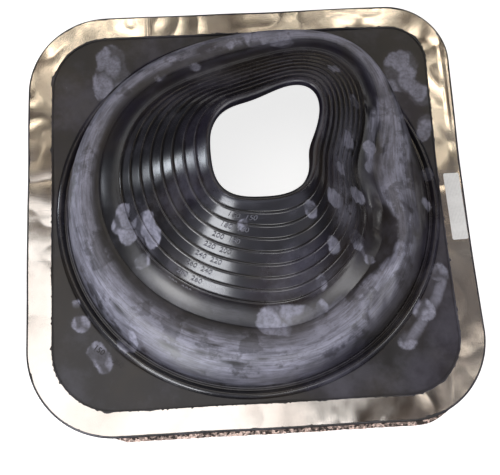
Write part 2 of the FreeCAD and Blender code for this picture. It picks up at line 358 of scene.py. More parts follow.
def finish_piece(bm, name, material, sharp=38):
    """Mesh object from a bmesh, shaded smooth up to the sharp angle, riding on the part."""
    piece = as_object(bm, name)
    mesh = piece.data
    for used in LAYERS:
        if used in mesh.attributes and used != "gloss":
            mesh.attributes.remove(mesh.attributes[used])
    mesh.shade_smooth()
    mesh.set_sharp_from_angle(angle=radians(sharp))
    mesh.materials.append(material)
    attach(piece, "root")
    return piece


# ---- folds pressed into the right side: points in mm, width and height in mm --------------
CREASES = (
    (((141, 40), (134, -7), (141, -22), (145, -50), (136, -72), (115, -84), (95, -102), (88, -122)),
     8.0, 6.0),
    (((163, 18), (165, -20), (168, -40), (168, -66), (163, -95), (146, -132)), 3.0, -2.6),
    (((113, 95), (128, 70), (132, 45), (127, 22)), 3.0, -2.2),
    (((152, 60), (158, 30), (157, -5), (160, -40)), 2.6, 1.8),
    (((152, -62), (150, -85), (140, -108), (124, -128)), 3.2, 2.0),
    (((108, -100), (104, -118), (110, -135)), 3.0, -2.2),
    (((128, -84), (120, -104), (122, -125)), 3.0, -1.8),
)
HOLLOW = (118, -38, 14, 6.0)

# ---- long wipes of powder: points and half width in mm, strength ---------------------------
WIPES = (
    (((136, 108), (145, 72), (144, 40), (137, 8), (137, -22)), 15, 1.0),
    (((134, 30), (137, -8), (144, -30), (144, -52), (135, -72), (115, -87), (97, -103), (88, -130)), 9, 1.0),
    (((186, -70), (172, -102), (154, -126), (136, -150)), 6, 0.6),
    (((128, 84), (119, 54), (116, 12)), 5, 0.8),
)

# ---- powder film along the rings: azimuth, key radius in mm, spreads, strength --------------
FILM = (
    (150, 163, 34, 11, 1.0), (185, 163, 22, 12, 1.0), (215, 163, 20, 12, 0.85), (245, 162, 20, 14, 0.75),
    (275, 162, 18, 15, 0.8), (300, 158, 14, 14, 0.6), (115, 164, 22, 11, 1.0), (90, 161, 18, 12, 0.95),
    (68, 156, 15, 14, 0.95), (42, 152, 13, 14, 0.8), (20, 158, 12, 12, 0.5), (0, 166, 14, 7, 0.5),
    (-20, 166, 12, 7, 0.45), (-40, 165, 14, 9, 0.45), (-62, 150, 9, 12, 0.6), (165, 158, 22, 9, 0.6),
    (100, 135, 40, 5, 0.25), (255, 132, 20, 8, 0.3), (5, 95, 26, 24, 0.5), (-32, 95, 14, 20, 0.45),
    (300, 120, 14, 8, 0.35), (210, 118, 14, 7, 0.4),
)

# ---- hand prints and pats of powder: x, y, reach in mm, strength ------------------------------
PRINTS = (
    (-132, 168, 15, 0.9), (-125, 148, 12, 0.8), (-140, 145, 11, 0.8), (-142, 128, 8, 0.7),
    (-175, 138, 7, 0.4), (-172, 118, 6, 0.3), (165, 148, 16, 1.0), (160, 128, 12, 0.8),
    (182, 112, 12, 0.9), (184, 82, 9, 0.8), (178, 68, 8, 0.7), (178, 25, 8, 0.7),
    (172, -8, 8, 0.6), (-164, -108, 9, 0.9), (-150, -134, 9, 0.9), (-142, -148, 8, 0.8),
    (-168, -88, 6, 0.5), (178, -75, 11, 0.7), (160, -112, 12, 0.8), (142, -140, 11, 0.7),
    (150, -192, 16, 0.35), (15, 167, 11, 1.0), (42, 161, 12, 0.8), (-10, 160, 8, 0.5),
    (-118, -12, 7, 0.7), (-122, -25, 8, 0.9), (-114, -38, 8, 0.8), (-98, -28, 9, 0.9),
    (-90, -44, 8, 0.9), (-102, -62, 9, 0.7), (12, -122, 12, 1.0), (28, -124, 12, 1.0),
    (44, -120, 9, 0.8), (60, -112, 7, 0.7), (-10, -52, 5, 0.7), (50, -40, 7, 0.8),
    (74, -25, 8, 0.9), (84, 8, 8, 0.6), (92, 38, 9, 0.7), (100, -10, 9, 0.8),
    (96, -52, 9, 0.8), (118, 42, 7, 1.0), (118, 22, 7, 1.0), (104, 80, 8, 0.6),
    (72, -62, 8, 0.7), (60, -92, 8, 0.6), (108, -68, 7, 0.6), (86, 112, 9, 0.5),
    (-45, 135, 10, 0.5), (-80, 128, 10, 0.4), (-120, -128, 10, 0.9),
)

# ---- strokes wiped clean along the rings: azimuth, key radius in mm, spreads, strength --------------
STROKES = (
    (206, 166, 5, 1.2, 0.6), (213, 163, 3, 1.0, 0.6), (221, 168, 4, 1.3, 0.7), (233, 164, 3, 1.2, 0.6),
    (241, 169, 4, 1.2, 0.7), (252, 166, 3, 1.3, 0.6), (262, 168, 4, 1.2, 0.6), (271, 165, 3, 1.2, 0.6),
    (229, 157, 5, 1.0, 0.5), (238, 161, 4, 1.0, 0.6), (247, 155, 4, 1.1, 0.5), (256, 160, 3, 1.0, 0.6),
    (187, 168, 6, 1.3, 0.5), (104, 157, 5, 4.0, 0.8), (97, 167, 4, 2.2, 0.7), (84, 162, 5, 2.0, 0.6),
    (29, 160, 5, 3.0, 0.6), (8, 158, 4, 3.0, 0.5), (126, 157, 6, 2.0, 0.5), (140, 163, 8, 1.2, 0.5),
)


def film_at(azimuth, key):
    """Strength of the powder film at a station of the moulding."""
    total = 0.0
    for centre, radius, spread, reach, strength in FILM:
        total += strength * bump(azimuth, centre, spread) * exp(-((key - radius * MM) / (reach * MM)) ** 2)
    total = min(total, 1.0)
    for centre, radius, spread, reach, strength in STROKES:
        total -= strength * bump(azimuth, centre, spread) * exp(-((key - radius * MM) / (reach * MM)) ** 2)
    return max(total, 0.0)


def prints_at(x, y):
    """Strength of the pats of powder at a point."""
    total = 0.0
    for px, py, reach, strength in PRINTS:
        away = ((x - px * MM) ** 2 + (y - py * MM) ** 2) / (reach * MM) ** 2
        if away < 4.0:
            total += strength * exp(-away)
    return min(total, 1.0)


def nearest_on(points, spot):
    """Distance to a line of points and how far along it that is, 0 to 1."""
    nearest, along = 1e9, 0.0
    for i, (a, b) in enumerate(zip(points, points[1:])):
        start, run = Vector(a), Vector(b) - Vector(a)
        t = min(max((spot - start).dot(run) / run.length_squared, 0.0), 1.0)
        gap = (spot - start - run * t).length
        if gap < nearest:
            nearest, along = gap, (i + t) / (len(points) - 1)
    return nearest, along


def crease_at(x, y):
    """Height of the pressed folds at a point, fading at their ends."""
    total = 0.0
    for points, width, height in CREASES:
        nearest, along = nearest_on(points, Vector((x, y)) / MM)
        if nearest < 3 * width:
            total += height * MM * exp(-(nearest / width) ** 2) * sin(pi * (0.06 + 0.88 * along)) ** 0.7
    away = ((x - HOLLOW[0] * MM) ** 2 + (y - HOLLOW[1] * MM) ** 2) / (HOLLOW[2] * MM) ** 2
    return total - HOLLOW[3] * MM * exp(-away)


def wiping_at(x, y):
    """Strength of the long powdery wipes at a point."""
    total = 0.0
    for points, width, strength in WIPES:
        nearest, along = nearest_on(points, Vector((x, y)) / MM)
        if nearest < 2 * width:
            fade = min(1.0, 6 * along, 6 * (1 - along))
            total += strength * exp(-(nearest / width) ** 4) * fade * fade * (3 - 2 * fade)
    return min(total, 1.0)


# ---- shader helpers ------------------------------------------------------------------
def node(tree, kind, inputs=None, **settings):
    """New node with its settings, and its inputs linked or set."""
    made = tree.nodes.new(kind)
    for name, value in settings.items():
        setattr(made, name, value)
    for name, value in (inputs or {}).items():
        if isinstance(value, bpy.types.NodeSocket):
            tree.links.new(value, made.inputs[name])
        else:
            made.inputs[name].default_value = value
    return made


def group(name, inputs, outputs):
    """Empty shader group with named sockets; returns the tree and its input and output nodes."""
    tree = bpy.data.node_groups.new(name, "ShaderNodeTree")
    for title, kind, value in inputs:
        socket = tree.interface.new_socket(name=title, in_out="INPUT", socket_type="NodeSocket" + kind)
        socket.default_value = value
    for title, kind in outputs:
        tree.interface.new_socket(name=title, in_out="OUTPUT", socket_type="NodeSocket" + kind)
    return tree, tree.nodes.new("NodeGroupInput"), tree.nodes.new("NodeGroupOutput")


def ramp(tree, factor, low, high):
    """Factor stretched so that low gives 0 and high gives 1."""
    return node(tree, "ShaderNodeMapRange", {"Value": factor, "From Min": low, "From Max": high},
                interpolation_type="SMOOTHSTEP").outputs["Result"]


def maths(tree, a, b, operation="MULTIPLY"):
    """Result of one maths node, a product unless told otherwise."""
    return node(tree, "ShaderNodeMath", {0: a, 1: b}, operation=operation).outputs[0]


def mixed(tree, factor, a, b):
    """Colour between a and b."""
    made = node(tree, "ShaderNodeMix", data_type="RGBA")
    for index, value in ((0, factor), (6, a), (7, b)):
        if isinstance(value, bpy.types.NodeSocket):
            tree.links.new(value, made.inputs[index])
        else:
            made.inputs[index].default_value = value
    return made.outputs[2]


def stretched(tree, value, low, high, at_low=0.3, at_high=0.7):
    """Value carried over to the range low to high."""
    return node(tree, "ShaderNodeMapRange", {"Value": value, "From Min": at_low, "From Max": at_high,
                                             "To Min": low, "To Max": high}).outputs["Result"]


def placed(tree, vector, scale):
    """Vector stretched by a scale on each axis."""
    return node(tree, "ShaderNodeMapping", {"Vector": vector, "Scale": scale}).outputs["Vector"]


def noisy(tree, vector, scale, detail=4.0, rough=0.55):
    """Soft noise, 0 to 1."""
    return node(tree, "ShaderNodeTexNoise", {"Vector": vector, "Scale": scale, "Detail": detail,
                                             "Roughness": rough}).outputs["Fac"]


def film_group():
    """Thin film of powder: streaks along the rings, with gaps."""
    tree, start, end = group("Powder film", (
        ("Vector", "Vector", (0, 0, 0)), ("Place", "Vector", (0, 0, 0)), ("Amount", "Float", 0.5)), (
        ("Mask", "Float"),))
    parts = node(tree, "ShaderNodeSeparateXYZ", {"Vector": start.outputs["Vector"]}).outputs
    layers = []
    for along, across in ((5.0, 620.0), (9.0, 210.0)):
        joined = node(tree, "ShaderNodeCombineXYZ", {
            "X": maths(tree, parts["X"], along), "Y": maths(tree, parts["Y"], along),
            "Z": maths(tree, parts["Z"], across)}).outputs["Vector"]
        layers.append(noisy(tree, joined, 1.0, 4.0, 0.6))
    streak = maths(tree, maths(tree, layers[0], 0.5), maths(tree, layers[1], 0.5), "ADD")
    streak = ramp(tree, streak, 0.36, 0.62)
    gaps = ramp(tree, noisy(tree, start.outputs["Place"], 38.0, 6.0, 0.62), 0.36, 0.50)
    cover = maths(tree, maths(tree, streak, 0.62), 0.38, "ADD")
    amount = start.outputs["Amount"]
    dense = ramp(tree, amount, 0.08, 0.85)
    open_up = maths(tree, gaps, maths(tree, dense, 0.45), "MAXIMUM")
    rubbed = ramp(tree, noisy(tree, start.outputs["Place"], 420.0, 3.0, 0.7), 0.30, 0.46)
    rubbed = maths(tree, maths(tree, rubbed, 0.3), 0.7, "ADD")
    mask = maths(tree, maths(tree, maths(tree, cover, dense), open_up), rubbed)
    tree.links.new(mask, end.inputs["Mask"])
    return tree


def pats_group():
    """Pats left by powdery fingers: soft ovals, a little paler at the rim."""
    tree, start, end = group("Powder pats", (
        ("Vector", "Vector", (0, 0, 0)), ("Amount", "Float", 0.5), ("Scale", "Float", 75.0)), (
        ("Mask", "Float"),))
    v = start.outputs["Vector"]
    shift = node(tree, "ShaderNodeTexNoise", {"Vector": v, "Scale": 70.0, "Detail": 1.0}).outputs["Color"]
    moved = node(tree, "ShaderNodeVectorMath", {0: shift, 1: (0.008, 0.008, 0.008)}, operation="MULTIPLY")
    moved = node(tree, "ShaderNodeVectorMath", {0: v, 1: moved.outputs["Vector"]}, operation="ADD")
    turned = node(tree, "ShaderNodeMapping", {
        "Vector": moved.outputs["Vector"], "Rotation": (0, 0, radians(30)),
        "Scale": (1.25, 0.8, 1.0)}).outputs["Vector"]
    cells = node(tree, "ShaderNodeTexVoronoi", {"Vector": turned, "Scale": start.outputs["Scale"]})
    gap = cells.outputs["Distance"]
    blot = maths(tree, maths(tree, ramp(tree, gap, 0.64, 0.46), 0.75), 0.25, "ADD")
    rim = maths(tree, maths(tree, ramp(tree, gap, 0.10, 0.45), 0.25), 0.75, "ADD")
    soft = ramp(tree, noisy(tree, v, 260.0, 5.0, 0.65), 0.28, 0.66)
    ragged = maths(tree, noisy(tree, v, 75.0, 6.0, 0.68), 0.55)
    amount = ramp(tree, maths(tree, start.outputs["Amount"], ragged, "ADD"), 0.54, 0.72)
    body = maths(tree, maths(tree, blot, rim), amount)
    body = maths(tree, body, maths(tree, maths(tree, soft, 0.5), 0.5, "ADD"))
    haze = maths(tree, maths(tree, ramp(tree, start.outputs["Amount"], 0.1, 1.0), soft), 0.28)
    tree.links.new(maths(tree, body, haze, "MAXIMUM"), end.inputs["Mask"])
    return tree


def grain_group():
    """Fine pitting and faint scratches as a height."""
    tree, start, end = group("Grain", (("Vector", "Vector", (0, 0, 0)), ("Scale", "Float", 900.0),
                                       ("Scratches", "Float", 0.3)), (("Height", "Float"),))
    v = start.outputs["Vector"]
    fine = node(tree, "ShaderNodeTexNoise", {"Vector": v, "Scale": start.outputs["Scale"], "Detail": 3.0})
    turned = node(tree, "ShaderNodeMapping", {"Vector": v, "Rotation": (0, 0, radians(35)),
                                              "Scale": (20, 700, 300)})
    lines = noisy(tree, turned.outputs["Vector"], 1.0, 2.0)
    cut = maths(tree, ramp(tree, lines, 0.62, 0.74), start.outputs["Scratches"])
    tree.links.new(maths(tree, fine.outputs["Fac"], cut, "SUBTRACT"), end.inputs["Height"])
    return tree


GROUPS = {}


def use_group(tree, name, inputs):
    """Place the named group in a material with its own values."""
    if name not in GROUPS:
        GROUPS[name] = {"Powder film": film_group, "Powder pats": pats_group, "Grain": grain_group}[name]()
    made = tree.nodes.new("ShaderNodeGroup")
    made.node_tree = GROUPS[name]
    for title, value in inputs.items():
        if isinstance(value, bpy.types.NodeSocket):
            tree.links.new(value, made.inputs[title])
        else:
            made.inputs[title].default_value = value
    return made


def material(name):
    """New node material; returns it, its tree, its Principled shader and object coordinates."""
    made = bpy.data.materials.new(name)
    made.use_nodes = True
    tree = made.node_tree
    shader = tree.nodes["Principled BSDF"]
    place = tree.nodes.new("ShaderNodeTexCoord").outputs["Object"]
    return made, tree, shader, place


def plug(tree, shader, **inputs):
    """Link or set the shader's inputs; an underscore stands for a space."""
    for title, value in inputs.items():
        title = title.replace("_", " ")
        if isinstance(value, bpy.types.NodeSocket):
            tree.links.new(value, shader.inputs[title])
        else:
            shader.inputs[title].default_value = value


def solid(colour, by=1.0):
    """Opaque colour, made darker or lighter by a factor."""
    return (*(min(1.0, by * c) for c in colour), 1.0)


def bumped(tree, height, distance):
    """Normal that a height gives, at full strength."""
    made = node(tree, "ShaderNodeBump", {"Height": height, "Distance": distance, "Strength": 1.0})
    return made.outputs["Normal"]


def rubber_material(colours):
    made, tree, shader, place = material("black_rubber")
    around = node(tree, "ShaderNodeAttribute", attribute_name="around").outputs["Vector"]
    gloss = node(tree, "ShaderNodeAttribute", attribute_name="gloss").outputs["Fac"]
    film = node(tree, "ShaderNodeAttribute", attribute_name="film").outputs["Fac"]
    prints = node(tree, "ShaderNodeAttribute", attribute_name="prints").outputs["Fac"]
    bloom = ramp(tree, noisy(tree, place, 11.0, 5.0), 0.44, 0.66)
    tint = ramp(tree, noisy(tree, placed(tree, place, (7.0, 7.0, 7.0)), 1.0, 3.0), 0.45, 0.6)
    base = mixed(tree, tint, solid(colours.rubber), solid(colours.rubber_cool))
    base = mixed(tree, maths(tree, bloom, 0.8), base, solid(colours.rubber_warm))
    wiped = use_group(tree, "Powder film", {"Vector": around, "Place": place, "Amount": film})
    pats = use_group(tree, "Powder pats", {"Vector": place, "Amount": prints, "Scale": 42.0})
    powder = maths(tree, wiped.outputs["Mask"], pats.outputs["Mask"], "MAXIMUM")
    cloud = maths(tree, ramp(tree, noisy(tree, place, 15.0, 6.0, 0.65), 0.46, 0.70), 0.15)
    powder = maths(tree, powder, cloud, "MAXIMUM")
    shade = mixed(tree, ramp(tree, noisy(tree, place, 40.0, 3.0), 0.35, 0.65), solid(colours.talc),
                  solid(colours.talc, 0.72))
    base = mixed(tree, powder, base, shade)
    rough = stretched(tree, gloss, 0.36, 0.14, 0.0, 1.0)
    rough = maths(tree, rough, maths(tree, noisy(tree, place, 60.0), 0.14), "ADD")
    rough = maths(tree, rough, maths(tree, powder, 0.22), "ADD")
    grain = use_group(tree, "Grain", {"Vector": place, "Scale": 700.0, "Scratches": 0.25})
    slow = maths(tree, noisy(tree, place, 13.0, 2.0), maths(tree, maths(tree, gloss, -45.0), 60.0, "ADD"))
    height = maths(tree, maths(tree, grain.outputs["Height"], maths(tree, powder, 1.5), "ADD"), slow, "ADD")
    plug(tree, shader, Base_Color=base, Roughness=rough, Specular_IOR_Level=0.75,
         Normal=bumped(tree, height, 0.00002))
    return made


def metal_material(colours):
    made, tree, shader, place = material("band_metal")
    patches = ramp(tree, noisy(tree, place, 9.0, 5.0), 0.38, 0.62)
    base = mixed(tree, patches, solid(colours.metal), solid(colours.metal_dull))
    specks = ramp(tree, noisy(tree, place, 330.0, 4.0, 0.7), 0.66, 0.76)
    base = mixed(tree, maths(tree, specks, 0.5), base, solid(colours.metal_dull, 0.35))
    rough = stretched(tree, noisy(tree, place, 34.0, 6.0), 0.10, 0.23)
    rolled = noisy(tree, placed(tree, place, (900.0, 60.0, 200.0)), 1.0, 2.0)
    waves = maths(tree, noisy(tree, place, 24.0, 2.0), 0.7)
    grain = use_group(tree, "Grain", {"Vector": place, "Scale": 1500.0, "Scratches": 1.2})
    fine = maths(tree, maths(tree, grain.outputs["Height"], rolled, "ADD"), 0.012)
    plug(tree, shader, Base_Color=base, Roughness=rough, Metallic=1.0,
         Normal=bumped(tree, maths(tree, waves, fine, "ADD"), 0.0006))
    return made


def foam_material(colours):
    made, tree, shader, place = material("gasket_cells")
    cells = node(tree, "ShaderNodeTexVoronoi", {"Vector": place, "Scale": 480.0})
    pick = node(tree, "ShaderNodeSeparateColor", {"Color": cells.outputs["Color"]}).outputs["Red"]
    pits = ramp(tree, cells.outputs["Distance"], 0.15, 0.7)
    dark = solid(colours.foam, 0.16)
    light = solid(colours.foam, 2.6)
    base = mixed(tree, ramp(tree, pick, 0.30, 0.42), dark, solid(colours.foam))
    base = mixed(tree, ramp(tree, pick, 0.66, 0.74), base, light)
    plug(tree, shader, Base_Color=base, Roughness=maths(tree, maths(tree, pits, 0.1), 0.82, "ADD"),
         Normal=bumped(tree, pits, 0.0006))
    return made


def paper_material(colours):
    made, tree, shader, place = material("white_paper")
    spread = node(tree, "ShaderNodeAttribute", attribute_name="spread").outputs["Vector"]
    parts = node(tree, "ShaderNodeSeparateXYZ", {"Vector": spread}).outputs
    fibre = noisy(tree, place, 400.0, 3.0)
    base = mixed(tree, ramp(tree, fibre, 0.3, 0.7), solid(colours.paper, 0.94), solid(colours.paper))
    across = maths(tree, maths(tree, parts["X"], 700.0), 1.0, "FRACT")
    rules = maths(tree, across, 0.68, "GREATER_THAN")
    rows = noisy(tree, placed(tree, spread, (1.0, 60.0, 1.0)), 1.0, 1.0)
    block = maths(tree, ramp(tree, rows, 0.42, 0.5), 0.25)
    base = mixed(tree, maths(tree, rules, block), base, (0.42, 0.42, 0.44, 1.0))
    plug(tree, shader, Base_Color=base, Roughness=maths(tree, maths(tree, fibre, 0.1), 0.45, "ADD"),
         Normal=bumped(tree, fibre, 0.00003))
    return made


# ---- operators ---------------------------------------------------------------------------
def settings():
    scene = bpy.context.scene
    return scene.boot_sizes, scene.boot_colours


def rubber_piece(bm, name, colours):
    return finish_piece(bm, name, shared("black_rubber", rubber_material, colours))


def shared(name, maker, colours):
    """The named material, made on first use."""
    return bpy.data.materials.get(name) or maker(colours)


class BOOT_OT_rubber(bpy.types.Operator):
    """Build the rubber moulding: flange, bead, shoulder, collar and stepped cone"""
    bl_idname = "boot.rubber"
    bl_label = "Rubber moulding"

    def execute(self, context):
        sizes, colours = settings()
        ring = radii(sizes)
        half = 0.5 * sizes.base_width
        bm, layer = spun(solid_rows(ring, sizes), sizes.turns)
        around = bm.verts.layers.float_vector.new("around")
        film = bm.verts.layers.float.new("film")
        prints = bm.verts.layers.float.new("prints")
        for v in bm.verts:
            azimuth = degrees(atan2(v.co.y, v.co.x))
            r, z = hypot(v.co.x, v.co.y), v.co.z
            key, follow, square = v[layer["key"]], v[layer["follow"]], v[layer["square"]]
            v[around] = (v.co.x / r, v.co.y / r, r - z)
            spot = lay(azimuth, key if square > 0 else r, z, key, follow, ring)
            if square > 0:
                x, y = outline(azimuth, half, v[layer["inset"]])
                spot.x += (x - spot.x) * square
                spot.y += (y - spot.y) * square
            if z > Z_UNDER + 1 * MM:
                wipe = wiping_at(spot.x, spot.y) if spot.x > 0.05 else 0.0
                v[film] = max(film_at(azimuth, key) if square == 0 else 0.0, wipe)
                v[prints] = prints_at(spot.x, spot.y)
            if square == 0 and spot.x > 0.05 and key > 0.09:
                spot.z += crease_at(spot.x, spot.y) * min(1.0, max(0.0, (ring["foot"] - key) / (3 * MM)))
            if 0 < square < 0.999:
                sag = noise.noise(Vector((spot.x * 16, spot.y * 16, 1.0)))
                spot.z += 0.5 * MM * sag * min(1, 5 * (1 - square))
            v.co = spot
        piece = rubber_piece(bm, "boot_rubber", colours)
        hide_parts("rubber_boot")
        return {"FINISHED"}


class BOOT_OT_numbers(bpy.types.Operator):
    """Raise the plain size numbers on the steps and the flange"""
    bl_idname = "boot.numbers"
    bl_label = "Raised numbers"

    def execute(self, context):
        sizes, colours = settings()
        ring = radii(sizes)
        bm = bmesh.new()
        dust, around = bm.verts.layers.float.new("film"), bm.verts.layers.float_vector.new("around")
        for i, words in enumerate(STEP_MARKS):
            r0, z0, dr, dz = riser(ring, i)
            for v in text_points(bm, words, sizes.mark_height, sizes.mark_raise):
                back = MARK_BACK + sizes.mark_height - v.co.y
                lift = v.co.z + MARK_LIFT
                r, z = r0 - dr * back + dz * lift, z0 - dz * back - dr * lift
                azimuth = MARK_AZIMUTH + i * MARK_AZIMUTH_STEP + degrees(v.co.x / (r0 + 0.01))
                v[dust] = MARK_DUST
                v[around] = (cos(radians(azimuth)), sin(radians(azimuth)), r - z)
                v.co = lay(azimuth, r, z, r0, 1, ring)
        c, s = cos(FLANGE_MARK_TURN), sin(FLANGE_MARK_TURN)
        for v in text_points(bm, FLANGE_MARK, sizes.mark_height, sizes.mark_raise):
            x, y = v.co.x * c - v.co.y * s, v.co.x * s + v.co.y * c
            v.co = (x + FLANGE_MARK_AT[0], y + FLANGE_MARK_AT[1], Z_TOP + v.co.z)
        rubber_piece(bm, "size_numbers", colours)
        return {"FINISHED"}


def text_points(bm, words, height, proud):
    """Adds flat raised text to the bmesh, centred, and returns its new points."""
    data = bpy.data.curves.new("words", "FONT")
    data.body, data.size, data.extrude, data.align_x = words, height * 1.3, proud, "CENTER"
    holder = bpy.data.objects.new("words", data)
    bpy.context.scene.collection.objects.link(holder)
    flat = bpy.data.meshes.new_from_object(holder.evaluated_get(bpy.context.evaluated_depsgraph_get()))
    bpy.data.objects.remove(holder)
    before = len(bm.verts)
    bm.from_mesh(flat)
    bm.verts.ensure_lookup_table()
    bpy.data.meshes.remove(flat)
    return bm.verts[before:]


def dent_at(x, y, size):
    """Height of the band's dents at a point, kept above the rubber."""
    slow = noise.noise(Vector((x * 15.0, y * 15.0, 3.1)))
    quick = abs(noise.noise(Vector((x * 34.0, y * 34.0, 8.7))))
    lift = size * (0.8 * slow + 0.6 * quick)
    lift += 0.5 * MM * exp(-((x + 0.093) / 0.0012) ** 2) * (1 if y > 0.18 else 0)
    if x > 0.18 and y > 0.02:
        lift -= 0.45 * MM * exp(-((x - 0.2065) / 0.0011) ** 2) * bump(degrees(atan2(y, x)), 27, 14)
    return lift


class BOOT_OT_band(bpy.types.Operator):
    """Build the dented aluminium band on the flange, and the rubber flash along its edges"""
    bl_idname = "boot.band"
    bl_label = "Aluminium band"

    def execute(self, context):
        sizes, colours = settings()
        half = 0.5 * sizes.base_width
        start, end = sizes.band_inset, sizes.band_inset + sizes.band_width
        section = [(start, Z_TOP - 0.8 * MM), (start, Z_BAND - 0.3 * MM), (start + 0.35 * MM, Z_BAND)]
        section += [(start + (end - start) * k / 12, Z_BAND) for k in range(1, 12)]
        section += [(end - 0.35 * MM, Z_BAND), (end, Z_BAND - 0.3 * MM), (end, Z_TOP - 0.8 * MM)]
        rows = [(half - inset, z, half, 0, 1, inset, 0) for inset, z in section]
        bm, layer = spun(rows, 900)
        for v in bm.verts:
            azimuth = degrees(atan2(v.co.y, v.co.x))
            high = v.co.z
            x, y = outline(azimuth, half, v[layer["inset"]])
            lift = dent_at(x, y, sizes.dent) if high > Z_TOP else 0.0
            v.co = (x, y, high + lift)
        piece = finish_piece(bm, "band", shared("band_metal", metal_material, colours))
        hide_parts("aluminium_band")

        bm = bmesh.new()
        for edge, side, most, seed in ((end, 1, 5.5, 11.0), (start, -1, 3.0, 23.0)):
            self.flash(bm, half, edge, side, most * MM, seed, sizes.dent)
        rubber_piece(bm, "band_flash", colours)
        return {"FINISHED"}

    def flash(self, bm, half, edge, side, most, seed, dent):
        """Ragged skin of rubber that laps over one edge of the band."""
        section = ((0.9, -1.2), (0.8, -0.15), (0.3, 0.3), (-0.2, 0.38), (-0.75, 0.3), (-1.0, -0.5))
        rows = [(half - out * MM, Z_BAND + lift * MM, out, 0, 1, 0, 0) for out, lift in section]
        part, layer = spun(rows, 1500)
        for v in part.verts:
            azimuth = degrees(atan2(v.co.y, v.co.x))
            c, s = cos(radians(azimuth)), sin(radians(azimuth))
            coarse = noise.noise(Vector((c * 16, s * 16, seed)))
            fine = noise.noise(Vector((c * 90, s * 90, seed)))
            lap = most * (0.10 + 0.9 * max(0.0, coarse) ** 2 + 0.5 * max(0.0, fine) ** 1.5)
            out = v[layer["key"]]
            x, y = outline(azimuth, half, edge + side * out * (MM if out > 0 else lap))
            v.co = (x, y, v.co.z + (dent_at(x, y, dent) if v.co.z > Z_BAND - 0.6 * MM else 0.0))
        spare = bpy.data.meshes.new("spare")
        part.to_mesh(spare)
        part.free()
        bm.from_mesh(spare)
        bpy.data.meshes.remove(spare)


class BOOT_OT_gasket(bpy.types.Operator):
    """Build the foam gasket, cut roughly, that shows under the front edge"""
    bl_idname = "boot.gasket"
    bl_label = "Foam gasket"

    def execute(self, context):
        sizes, colours = settings()
        half = 0.5 * sizes.base_width
        rows = [(half - inset, z, half, 0, 1, inset, 0) for inset, z in (
            (GASKET_WIDTH, 0), (2.2 * MM, 0), (1.8 * MM, 1.2 * MM), (2 * MM, 2.6 * MM), (1.8 * MM, 4 * MM),
            (2.4 * MM, Z_UNDER), (GASKET_WIDTH, Z_UNDER))]
        bm, layer = spun(rows, 1100)
        for v in bm.verts:
            azimuth = degrees(atan2(v.co.y, v.co.x))
            inset = v[layer["inset"]]
            x, y = outline(azimuth, half, inset)
            if y < -0.17 and inset < 0.01:
                shown = min(max((x + 0.138) / 0.014, 0.0), 1.0) * min(max((0.185 - x) / 0.03, 0.0), 1.0)
                torn = 0.5 * noise.noise(Vector((x * 160, y * 160, v.co.z * 500)))
                torn += 0.6 * noise.noise(Vector((x * 60, 0.0, v.co.z * 100)))
                y -= shown * (GASKET_SHOWN + torn) * MM
            v.co = (x, max(y, GASKET_LIMIT_Y), v.co.z)
        cells = shared("gasket_cells", foam_material, colours)
        piece = finish_piece(bm, "gasket_foam", cells)
        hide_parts("foam_gasket")
        return {"FINISHED"}


class BOOT_OT_label(bpy.types.Operator):
    """Build the paper label that lies along the right side of the band"""
    bl_idname = "boot.label"
    bl_label = "Label"

    def execute(self, context):
        sizes, colours = settings()
        middle = 0.5 * (LABEL_LOW + LABEL_HIGH)
        length = LABEL_HIGH.y - LABEL_LOW.y - 0.4 * MM
        width = (LABEL_HIGH.x - LABEL_LOW.x) - length * sin(LABEL_TURN)
        bm = bmesh.new()
        bmesh.ops.create_cube(bm, size=1.0)
        bmesh.ops.scale(bm, vec=(width, length, LABEL_THICK), verts=bm.verts)
        upright = [e for e in bm.edges if abs(e.verts[0].co.z - e.verts[1].co.z) > 1e-6]
        bmesh.ops.bevel(bm, geom=upright, offset=LABEL_CORNER, segments=4, profile=0.5,
                        affect="EDGES", material=-1)
        for parts, across in ((24, Vector((0, length, 0))), (6, Vector((width, 0, 0)))):
            for k in range(1, parts):
                bmesh.ops.bisect_plane(bm, geom=bm.verts[:] + bm.edges[:] + bm.faces[:],
                                       plane_co=across * (k / parts - 0.5), plane_no=across.normalized())
        spread = bm.verts.layers.float_vector.new("spread")
        for v in bm.verts:
            v[spread] = v.co
            x = middle.x + v.co.x * cos(LABEL_TURN) - v.co.y * sin(LABEL_TURN)
            y = middle.y + v.co.x * sin(LABEL_TURN) + v.co.y * cos(LABEL_TURN)
            v.co = (x, y, Z_BAND + 0.18 * MM + v.co.z + dent_at(x, y, sizes.dent))
        piece = finish_piece(bm, "paper_label", shared("white_paper", paper_material, colours))
        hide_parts("label")
        return {"FINISHED"}


# ---- stage ---------------------------------------------------------------------------------
CAMERA_AT, CAMERA_TURN_DEG = (-0.034224, -0.326922, 0.927354), (17.9376, -1.0118, -3.3289)
CAMERA_LENS, CAMERA_SENSOR = 72.0, 36.0
GOLDEN, SILVER, SKY = (1.0, 0.86, 0.66), (0.94, 0.96, 1.0), (0.86, 0.92, 1.0)
WORLD_LEVEL, FLOOR_GLOW = 0.18, 0.80
BROWN_CLOTH = ((0.02, 0.016, 0.014), (0.15, 0.10, 0.075), (0.06, 0.06, 0.07))
BLUE_CLOTH = ((0.012, 0.013, 0.020), (0.030, 0.033, 0.055), (0.80, 0.82, 1.0))


def lamp(name, place, target, width, depth, brightness, colour=(1, 1, 1)):
    """Area lamp whose surface shows the given brightness."""
    data = bpy.data.lights.new(name, "AREA")
    data.shape, data.size, data.size_y = "RECTANGLE", width, depth
    data.energy = brightness * pi * width * depth
    data.color = colour
    made = bpy.data.objects.new(name, data)
    made.location = place
    made.visible_camera = False
    made.rotation_euler = (Vector(target) - Vector(place)).to_track_quat("-Z", "Y").to_euler()
    bpy.context.scene.collection.objects.link(made)
    return made


